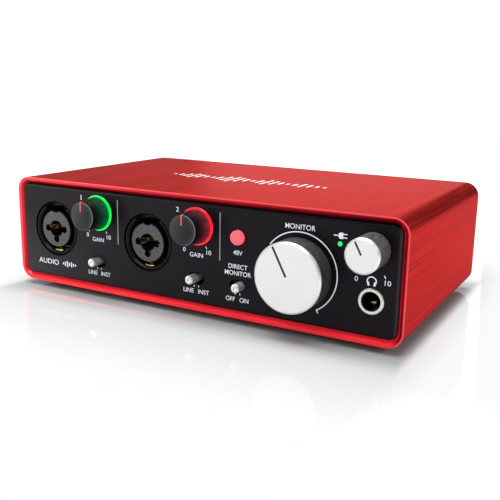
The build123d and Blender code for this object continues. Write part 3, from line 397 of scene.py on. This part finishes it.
def cap_paint(name):
    """Bead-blasted aluminium face with a brighter cut edge."""
    paint = Paint(name)
    grain = paint.noise(5200.0)
    slow = paint.noise(160.0)
    edge = paint.range(paint.facing(1), -0.97, -0.9)
    mottle = paint.total(paint.times(grain, 0.85), paint.times(slow, 0.15))
    face = paint.mix(paint.range(mottle, *NARROW), (0.84, 0.84, 0.83), (0.94, 0.94, 0.93))
    paint.set(colour=paint.mix(edge, face, (0.96, 0.96, 0.95)),
              rough=paint.range(edge, 0.0, 1.0, 0.5, 0.34), metal=paint.range(edge, 0.0, 1.0, 0.25, 0.85),
              specular=0.5)
    paint.bump(grain, SATIN_RELIEF)
    return paint


def gold_paint():
    """Gold plating, with painted glints: small patches of it glow."""
    paint = brushed("contact_gold", (0.80, 0.52, 0.16), (0.95, 0.72, 0.34), (0.18, 0.3), 1, SATIN_RELIEF)
    # painted glints: small patches glow
    painted_glint_patch = paint.noise(420.0)
    paint.set(glow_colour=(1.0, 0.72, 0.30), glow=paint.range(painted_glint_patch, 0.57, 0.66, 0.0, 0.09))
    return paint


def leaf_paint():
    """The pale gold spring in the headphone jack: painted shade over all of it but the lower edge of its front half,
    which has a painted glint.
    """
    paint = brushed("leaf_pale_gold", (0.85, 0.72, 0.48), (0.98, 0.88, 0.66), (0.25, 0.4), 1, SATIN_RELIEF, metal=0.6)
    bright = paint.colour()
    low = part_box("headphone_jack_leaf")[0]
    # painted glint on a strip along the lower edge of the front half; painted shade on the rest
    painted_glint_strip = paint.times(paint.range(paint.axis(1), low[1] + 3.5 * MM, low[1] + 4.1 * MM, 1.0, 0.0),
                       paint.range(paint.axis(2), low[2] + 0.65 * MM, low[2] + 0.85 * MM, 1.0, 0.0))
    paint.set(colour=paint.mix(painted_glint_strip, (0.05, 0.04, 0.025), bright), specular=paint.range(painted_glint_strip, 0.0, 1.0, 0.1, 0.5),
              glow_colour=(1.0, 0.86, 0.58), glow=paint.times(painted_glint_strip, 0.30))
    return paint


def status_paint(node):
    """A small green lens, bright in the middle and deep green towards its edge."""
    paint = Paint("status_light_lit")
    cloud = paint.noise(900.0)
    low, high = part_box(node)
    radius = (high[0] - low[0]) / 2
    core = paint.range(paint.from_axis(centre(node)), 0.62 * radius, 0.95 * radius, 1.0, 0.0, smooth=True)
    lit = paint.mix(paint.range(cloud, *WIDE), (0.0, 0.72, 0.14), (0.01, 0.85, 0.19))
    tint = paint.mix(core, (0.0, 0.05, 0.015), lit)
    paint.set(colour=tint, rough=0.25, glow_colour=tint, glow=0.75)
    paint.bump(cloud, 0.01 * MM)
    return paint


def print_paint(name, light, dark, glow=0.0):
    """Screen printing ink with the slight mottling of a real print, and a painted glow of the given strength."""
    paint = Paint(name)
    mottle = paint.noise(2200.0, 3.0)
    tone = paint.mix(paint.range(mottle, *NARROW), dark, light)
    paint.set(colour=tone, rough=0.5, glow_colour=tone, glow=glow)
    paint.bump(mottle, 0.004 * MM)
    return paint


def board_paint():
    """Green solder mask with the darker lines of tracks under it."""
    paint = Paint("board_solder_mask")
    node = paint.add("ShaderNodeTexBrick")
    paint.wire(paint.stretch((420.0, 420.0, 420.0)), node.inputs["Vector"])
    node.inputs["Scale"].default_value = 1.0
    for key, value in (("Color1", (0.010, 0.13, 0.055, 1)), ("Color2", (0.014, 0.17, 0.07, 1)),
                       ("Mortar", (0.03, 0.26, 0.12, 1))):
        node.inputs[key].default_value = value
    node.inputs["Mortar Size"].default_value = 0.04
    paint.set(colour=node.outputs["Color"], rough=0.32, coat=0.4)
    paint.bump(node.outputs["Fac"], 0.02 * MM)
    return paint


GREEN = (0.0, 0.78, 0.06)             # the lit rings round the gain dials
RED = (1.0, 0.012, 0.03)
GREEN_PAINTED_GLOW = (0.0, 1.0, 0.32)      # their light, painted as a glow on the dials' sides
RED_PAINTED_GLOW = (1.0, 0.10, 0.15)
# A node that looks different from the rest of its slot is in BY_NODE. Both gain dials are, so their slot
# isn't in BY_SLOT.
BY_SLOT = {
    "anodised_red": sleeve_paint(),
    "fascia_black": fascia_paint(),
    "plate_steel": brushed("plate_zinc", (0.36, 0.37, 0.39), (0.52, 0.53, 0.54), (0.30, 0.45), 0, 0.01 * MM),
    "screw_black": grained("screw_black_oxide", (0.015, 0.015, 0.017), (0.035, 0.035, 0.038), (0.3, 0.42),
                           1800.0, 0.01 * MM, metal=0.8),
    "foot_rubber": grained("foot_rubber", (0.010, 0.010, 0.010), (0.022, 0.022, 0.023), (0.7, 0.9),
                           1500.0, 0.03 * MM, specular=0.3),
    "board_green": board_paint(),
    "electronics": grained("moulded_packages", (0.02, 0.02, 0.022), (0.05, 0.05, 0.054), (0.45, 0.6),
                           1600.0, 0.02 * MM),
    "capacitor_can": brushed("capacitor_aluminium", (0.5, 0.51, 0.53), (0.68, 0.69, 0.7), (0.25, 0.4), 2,
                             0.008 * MM),
    "light_guide": glow_paint("panel_led_lit", (0.25, 0.9, 0.4), (0.15, 0.7, 0.3), 0.4),
    "jack_plastic": grained("jack_nylon", (0.006, 0.006, 0.007), (0.014, 0.014, 0.016), (0.22, 0.32),
                            1900.0, 0.012 * MM, specular=0.10),
    "contact_gold": gold_paint(),
    "nickel": brushed("satin_nickel", (0.84, 0.79, 0.72), (0.97, 0.94, 0.89), (0.26, 0.40), 1, SATIN_RELIEF,
                      metal=0.7),
    "shaft_steel": brushed("turned_steel", (0.5, 0.5, 0.51), (0.72, 0.72, 0.73), (0.18, 0.3), 1, 0.01 * MM),
    # the pointer's ink glows a little: painted light
    "pointer_red": print_paint("pointer_red", (0.80, 0.11, 0.06), (0.60, 0.06, 0.035), 0.16),
    "pointer_black": grained("pointer_black", (0.006, 0.006, 0.006), (0.014, 0.014, 0.014), (0.45, 0.6),
                             2500.0, 0.01 * MM),
    "key_red": glow_paint("phantom_key_lit", (1.0, 0.11, 0.155), (0.95, 0.075, 0.115), 0.65),
    "cap_silver": cap_paint("dial_cap_aluminium"),
    "knob_dark": satin_side_paint("dial_side_satin", 0.30),
}
BY_NODE = {
    "gain_halo_1": glow_paint("halo_green_lit", GREEN, (0.0, 0.62, 0.05), 1.15),
    "gain_halo_2": glow_paint("halo_red_lit", RED, (0.95, 0.006, 0.02), 1.15),
    "gain_knob_1": gain_knob_paint("gain_knob_green_lit", "gain_knob_1", GREEN_PAINTED_GLOW, 0.14),
    "gain_knob_2": gain_knob_paint("gain_knob_red_lit", "gain_knob_2", RED_PAINTED_GLOW, 0.24),
    "headphone_jack_ferrule": ferrule_paint(),
    **{name: brushed("pin_satin_chrome_" + name, (0.70, 0.70, 0.71), (0.88, 0.88, 0.88), (0.26, 0.4), 1, SATIN_RELIEF,
                     metal=0.6)
       for name in ("input_selector_1", "input_selector_2", "direct_selector")},
    "monitor_knob": satin_side_paint("monitor_side_satin", 0.15),
    "status_light": status_paint("status_light"),
    "headphone_jack_leaf": leaf_paint(),
    "input_jack_1_insert": insert_paint("insert_grey_nylon_1"),
    "input_jack_2_insert": insert_paint("insert_grey_nylon_2"),
}

for name, node in NODES.items():
    for place in node.material_slots:
        slot = place.material.name.split(".")[0]
        place.material = (BY_NODE.get(name) or BY_SLOT[slot]).material


# ---------------------------------------------------------------- prints on the fascia and the top
PRINT = 0.02 * MM              # thickness of a screen print
SINK = 0.005 * MM              # how far a print starts inside the fascia's face
TOP_SINK = 0.01 * MM           # and the ornament inside the top
TICK = 0.3 * MM                # widths of printed strokes
DIAL_TICK = 0.32 * MM
ICON_LINE = 0.36 * MM
LINE = 0.42 * MM
CAPS = 1.75 * MM               # height of small capitals and figures
BOLDER = 0.002                 # thickening of the letters, as a share of their size


def mesh_piece(name, maker, material, body):
    """A piece from a function that fills a bmesh, riding on one of the bodies."""
    made = bmesh.new()
    maker(made)
    bmesh.ops.recalc_face_normals(made, faces=made.faces)
    mesh = bpy.data.meshes.new(name)
    made.to_mesh(mesh)
    made.free()
    mesh.materials.append(material)
    piece = bpy.data.objects.new(name, mesh)
    scene.collection.objects.link(piece)
    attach(piece, body)


def slab(made, outline, to_world):
    """A thin closed slab: the outline at the surface and again one print thickness proud of it."""
    low, high = ([made.verts.new(to_world(x, z, lift)) for x, z in outline] for lift in (0.0, PRINT))
    made.faces.new(high)
    made.faces.new(list(reversed(low)))
    for i in range(len(outline)):
        j = (i + 1) % len(outline)
        made.faces.new((low[i], low[j], high[j], high[i]))


def on_fascia(origin):
    """Places a point of a print: right and up from the origin, and proud of the fascia."""
    return lambda x, z, lift: Vector((origin.x + x, FASCIA_Y + SINK - lift, origin.z + z))


def bar(made, to_world, a, b, width):
    """A straight stroke from a to b, in the surface's own two axes."""
    a, b = Vector(a), Vector(b)
    side = (b - a).normalized()
    side = Vector((-side.y, side.x)) * width / 2
    slab(made, [a + side, a - side, b - side, b + side], to_world)


def arc(made, to_world, radius, start, end, width, steps):
    """A curved stroke: angles in degrees, clockwise from straight up."""
    angles = [math.radians(start + (end - start) * i / steps) for i in range(steps + 1)]
    lines = [[(r * math.sin(t), r * math.cos(t)) for t in angles] for r in (radius + width / 2, radius - width / 2)]
    o0, o1, i0, i1 = ([made.verts.new(to_world(x, z, lift)) for x, z in line]
                      for line in lines for lift in (0.0, PRINT))
    for k in range(steps):
        made.faces.new((o1[k], o1[k + 1], i1[k + 1], i1[k]))
        made.faces.new((o0[k], i0[k], i0[k + 1], o0[k + 1]))
        made.faces.new((o0[k], o0[k + 1], o1[k + 1], o1[k]))
        made.faces.new((i0[k], i1[k], i1[k + 1], i0[k + 1]))
    for k in (0, steps):
        made.faces.new((o0[k], o1[k], i1[k], i0[k]))


def lettering(made, to_world, words, x, z, width, height=CAPS, bolder=BOLDER):
    """Plain capitals or figures, fitted to a width and a cap height and centred on x, z."""
    curve = bpy.data.curves.new("lettering", "FONT")
    curve.body = words
    curve.extrude = 0.5
    curve.offset = bolder
    curve.resolution_u = 6
    source = bpy.data.objects.new("lettering", curve)
    scene.collection.objects.link(source)
    bpy.context.view_layer.update()
    mesh = bpy.data.meshes.new_from_object(source.evaluated_get(bpy.context.evaluated_depsgraph_get()))
    xs = [v.co.x for v in mesh.vertices]
    ys = [v.co.y for v in mesh.vertices]
    across, up = width / (max(xs) - min(xs)), height / (max(ys) - min(ys))
    for v in mesh.vertices:
        lift = PRINT * (v.co.z + curve.extrude)
        v.co = to_world(x + (v.co.x - (max(xs) + min(xs)) / 2) * across,
                        z + (v.co.y - (max(ys) + min(ys)) / 2) * up, lift)
    made.from_mesh(mesh)
    bmesh.ops.remove_doubles(made, verts=made.verts, dist=1e-7)
    bpy.data.objects.remove(source)
    bpy.data.curves.remove(curve)
    bpy.data.meshes.remove(mesh)


def switch_ticks(made, switch):
    """The two marks under a slide switch."""
    for side in (-1, 1):
        bar(made, switch, (side * MM, -2.75 * MM), (side * MM, -3.45 * MM), TICK)


def input_prints(made):
    """Round the gain dials and under the input switches."""
    for n in (1, 2):
        knob = on_fascia(centre(f"gain_shaft_{n}"))
        lettering(made, knob, "0", -5.5 * MM, -9.55 * MM, 1.15 * MM)
        lettering(made, knob, "10", 5.6 * MM, -9.55 * MM, 2.1 * MM)
        lettering(made, knob, "GAIN", 0.0, -11.1 * MM, 6.0 * MM)
        for side in (-1, 1):
            bar(made, knob, (4.2 * side * MM, -7.2 * MM), (4.75 * side * MM, -8.15 * MM), DIAL_TICK)
        if n == 1:
            bar(made, knob, (-8.55 * MM, 4.7 * MM), (-8.55 * MM, 6.7 * MM), LINE)
        else:
            lettering(made, knob, "2", -8.6 * MM, 5.7 * MM, 1.25 * MM, 1.9 * MM)
        switch = on_fascia(centre(f"input_switch_{n}"))
        switch_ticks(made, switch)
        lettering(made, switch, "LINE", -3.6 * MM, -5.1 * MM, 4.7 * MM)
        lettering(made, switch, "INST", 3.3 * MM, -5.1 * MM, 4.9 * MM)


def output_prints(made):
    """Everything printed right of the second divider."""
    switch = on_fascia(centre("direct_switch"))
    switch_ticks(made, switch)
    lettering(made, switch, "OFF", -3.1 * MM, -5.3 * MM, 3.9 * MM)
    lettering(made, switch, "ON", 2.8 * MM, -5.3 * MM, 3.8 * MM)
    lettering(made, switch, "DIRECT", 0.0, 7.4 * MM, 8.1 * MM)
    lettering(made, switch, "MONITOR", 0.0, 4.85 * MM, 11.2 * MM)
    lettering(made, on_fascia(centre("phantom_button")), "48V", 0.0, -5.8 * MM, 3.9 * MM)

    dial = on_fascia(centre("monitor_shaft"))
    lettering(made, dial, "MONITOR", 0.0, 16.45 * MM, 11.6 * MM, 1.85 * MM)
    scale_end = 150.0
    arc(made, dial, 14.65 * MM, -53.0, scale_end, LINE, 96)
    angle = math.radians(scale_end)
    bar(made, dial, *((r * MM * math.sin(angle), r * MM * math.cos(angle)) for r in (14.5, 15.9)), LINE)

    phones = on_fascia(centre("headphone_shaft"))
    lettering(made, phones, "0", -5.6 * MM, -10.7 * MM, 1.2 * MM)
    lettering(made, phones, "10", 5.55 * MM, -10.8 * MM, 2.2 * MM)
    bar(made, phones, (4.15 * MM, -8.3 * MM), (4.75 * MM, -9.3 * MM), DIAL_TICK)
    band = on_fascia(centre("headphone_shaft") + Vector((-0.1 * MM, 0, -10.95 * MM)))
    arc(made, band, 1.6 * MM, -125.0, 125.0, LINE, 32)
    for side in (-1, 1):
        bar(made, phones, ((-0.1 + 1.30 * side) * MM, -11.15 * MM), ((-0.1 + 0.98 * side) * MM, -12.5 * MM),
            0.75 * MM)

    plug = on_fascia(centre("status_light") + Vector((-0.1 * MM, 0, 2.75 * MM)))
    bar(made, plug, (-2.45 * MM, 0.0), (-0.5 * MM, 0.0), ICON_LINE)
    slab(made, [(x * MM, z * MM) for x, z in ((-0.75, 0.55), (-0.75, -0.55), (-0.2, -1.1), (0.95, -1.1),
                                              (0.95, 1.1), (-0.2, 1.1))], plug)
    for side in (-1, 1):
        bar(made, plug, (0.9 * MM, 0.6 * side * MM), (2.4 * MM, 0.6 * side * MM), ICON_LINE)


def divider_prints(made):
    """The two upright lines between the channels."""
    for n in (1, 2):
        knob = on_fascia(centre(f"gain_shaft_{n}"))
        bar(made, knob, (10.5 * MM, -11.9 * MM), (10.5 * MM, 6.4 * MM), LINE)


def product_prints(made):
    """A generic word and a row of level bars, at the lower left."""
    corner = on_fascia(Vector((centre("input_jack_1_shell").x, 0, CASE_LOW.z)))
    height = 9.2
    lettering(made, corner, "AUDIO", -5.2 * MM, height * MM, 11.5 * MM, 2.2 * MM, 3 * BOLDER)
    for i, length in enumerate((0.9, 1.8, 2.6, 1.5, 2.2, 1.2, 0.7)):
        x = (3.2 + 1.15 * i) * MM
        bar(made, corner, (x, (height - length / 2) * MM), (x, (height + length / 2) * MM), 0.6 * MM)


def top_ornament(made):
    """A generic row of level bars, in the middle of the top."""
    middle = Vector((CASE_MIDDLE.x, CASE_MIDDLE.y - 3 * MM, CASE_HIGH.z - TOP_SINK))

    def to_world(x, y, lift):
        return middle + Vector((x, y, lift))

    lengths = (2.5, 4.5, 8, 12, 9, 5, 3.5, 7, 11.5, 15, 11, 7, 4, 8.5, 13, 10, 6, 3, 5.5, 9.5, 6.5, 4, 2.5)
    pitch = 3.35
    for i, length in enumerate(lengths):
        x = (i - (len(lengths) - 1) / 2) * pitch * MM
        bar(made, to_world, (x, -length / 2 * MM), (x, length / 2 * MM), 1.15 * MM)


# the inks glow a little: painted light
WHITE_INK = print_paint("white_ink", (0.86, 0.90, 0.96), (0.74, 0.78, 0.84), 0.21).material
GREY_INK = print_paint("grey_ink", (0.40, 0.41, 0.43), (0.32, 0.33, 0.35), 0.02).material
TOP_INK = print_paint("silver_ink", (0.92, 0.90, 0.89), (0.80, 0.78, 0.77), 0.10).material
mesh_piece("input_prints", input_prints, WHITE_INK, "chassis")
mesh_piece("output_prints", output_prints, WHITE_INK, "chassis")
mesh_piece("product_print", product_prints, WHITE_INK, "chassis")
mesh_piece("divider_prints", divider_prints, GREY_INK, "chassis")
mesh_piece("top_ornament", top_ornament, TOP_INK, "chassis")


# ---------------------------------------------------------------- floor, lights, camera
SOFTBOXES = (                  # name, place, size, radiance
    ("key_overhead", (-0.05, -0.05, 0.85), (0.9, 0.7), 5.2),
    ("fill_left", (-0.75, -0.50, 0.30), (0.6, 0.5), 4.5),
    ("fill_right", (0.9, -0.10, 0.60), (0.5, 0.5), 3.0),
    ("back_panel", (-0.41, 1.13, 0.30), (0.60, 0.62), 1.15),
    ("back_panel_left", (-0.92, 0.82, 0.30), (0.56, 0.62), 0.36),
)
LIT_POINT = (0.0, 0.0, 0.02)   # what every softbox faces
FILL = ((0.80, 0.81, 0.84, 1.0), 0.20)        # colour and strength of the room's light on the object
BACKDROP = ((1.0, 1.0, 1.0, 1.0), 1.05)       # and of what the camera sees behind it
FLOOR_REACH = 6.0
EYE = (0.152433, -0.268572, 0.090475)
EYE_ANGLES = (28.999, 13.336, 1.046)          # azimuth, elevation and roll, in degrees
SENSOR, FOCAL_LENGTH = 36.0, 51.934           # in millimetres, as Blender takes them


def past_case(paint, index):
    """How far a point of the floor lies outside the sleeve's footprint, along one axis."""
    offset = paint.math("ABSOLUTE", paint.less(paint.axis(index), CASE_MIDDLE[index]))
    return paint.less(offset, CASE_HALF[index])


def floor_paint():
    """White and a little glossy: it shines by itself out in the open, with a painted shadow round the object where
    that glow fades away, and takes real shadow close to the object.
    """
    paint = Paint("floor_white")
    haze = paint.noise(3.0)
    beside, before = past_case(paint, 0), past_case(paint, 1)
    # painted shadow: the floor's glow fades out close to the sleeve's footprint, on top of the real shadow there
    lit = paint.math("MAXIMUM", paint.range(beside, -0.5 * MM, 4.0 * MM, smooth=True),
                     paint.range(before, 3 * MM, 20 * MM, smooth=True))
    # painted shade: the glow is dimmer close to the object and brighter further away
    level = paint.total(paint.range(beside, 0.0, 13 * MM, 0.0, 0.17), paint.range(before, 20 * MM, 60 * MM, 0.0, 0.20),
                        0.80)
    shade = paint.range(paint.times(lit, paint.range(haze, *WIDE, 0.98, 1.0)), 0.0, 1.0, 0.50, 0.08)
    paint.set(colour=paint.mix(shade, (0.0, 0.0, 0.0), (0.93, 1.0, 1.0)), rough=0.04, specular=0.10,
              glow_colour=(1.0, 1.0, 1.0), glow=paint.times(paint.times(lit, 0.88), level))
    return paint


def floor_piece():
    made = bmesh.new()
    made.faces.new([made.verts.new((x * FLOOR_REACH, y * FLOOR_REACH, 0.0))
                    for x, y in ((-1, -1), (1, -1), (1, 1), (-1, 1))])
    mesh = bpy.data.meshes.new("floor")
    made.to_mesh(mesh)
    made.free()
    mesh.materials.append(floor_paint().material)
    floor = bpy.data.objects.new("floor", mesh)
    scene.collection.objects.link(floor)


def softbox(name, place, size, radiance):
    light = bpy.data.lights.new(name, "AREA")
    light.shape = "RECTANGLE"
    light.size, light.size_y = size
    light.energy = radiance * math.pi * size[0] * size[1]
    lamp = bpy.data.objects.new(name, light)
    lamp.location = place
    lamp.rotation_euler = (Vector(LIT_POINT) - Vector(place)).to_track_quat("-Z", "Y").to_euler()
    lamp.visible_camera = False
    scene.collection.objects.link(lamp)


def studio():
    """A dim room with softboxes, and plain white where the camera sees past the floor."""
    world = bpy.data.worlds.new("studio")
    scene.world = world
    world.use_nodes = True
    tree = world.node_tree
    tree.nodes.clear()
    both = tree.nodes.new("ShaderNodeMixShader")
    tree.links.new(tree.nodes.new("ShaderNodeLightPath").outputs["Is Camera Ray"], both.inputs[0])
    for socket, (colour, strength) in zip(both.inputs[1:3], (FILL, BACKDROP)):
        light = tree.nodes.new("ShaderNodeBackground")
        light.inputs["Color"].default_value = colour
        light.inputs["Strength"].default_value = strength
        tree.links.new(light.outputs[0], socket)
    out = tree.nodes.new("ShaderNodeOutputWorld")
    tree.links.new(both.outputs[0], out.inputs[0])
    for box in SOFTBOXES:
        softbox(*box)


def aim_camera():
    """The eye: to the right of the front, a little above it, and rolled slightly."""
    azimuth, elevation, roll = (math.radians(v) for v in EYE_ANGLES)
    ahead = Vector((-math.sin(azimuth) * math.cos(elevation), math.cos(azimuth) * math.cos(elevation),
                    -math.sin(elevation)))
    level = ahead.cross(Vector((0, 0, 1))).normalized()
    right = level * math.cos(roll) + level.cross(ahead) * math.sin(roll)
    up = right.cross(ahead)
    lens = bpy.data.cameras.new("camera")
    lens.sensor_width = SENSOR
    lens.lens = FOCAL_LENGTH
    lens.clip_start = 0.01
    eye = bpy.data.objects.new("camera", lens)
    eye.matrix_world = Matrix(((right.x, up.x, -ahead.x, EYE[0]), (right.y, up.y, -ahead.y, EYE[1]),
                               (right.z, up.z, -ahead.z, EYE[2]), (0, 0, 0, 1)))
    scene.collection.objects.link(eye)
    scene.camera = eye


floor_piece()
studio()
aim_camera()
scene.view_settings.view_transform = "Standard"
scene.view_settings.look = "None"

bpy.context.view_layer.update()
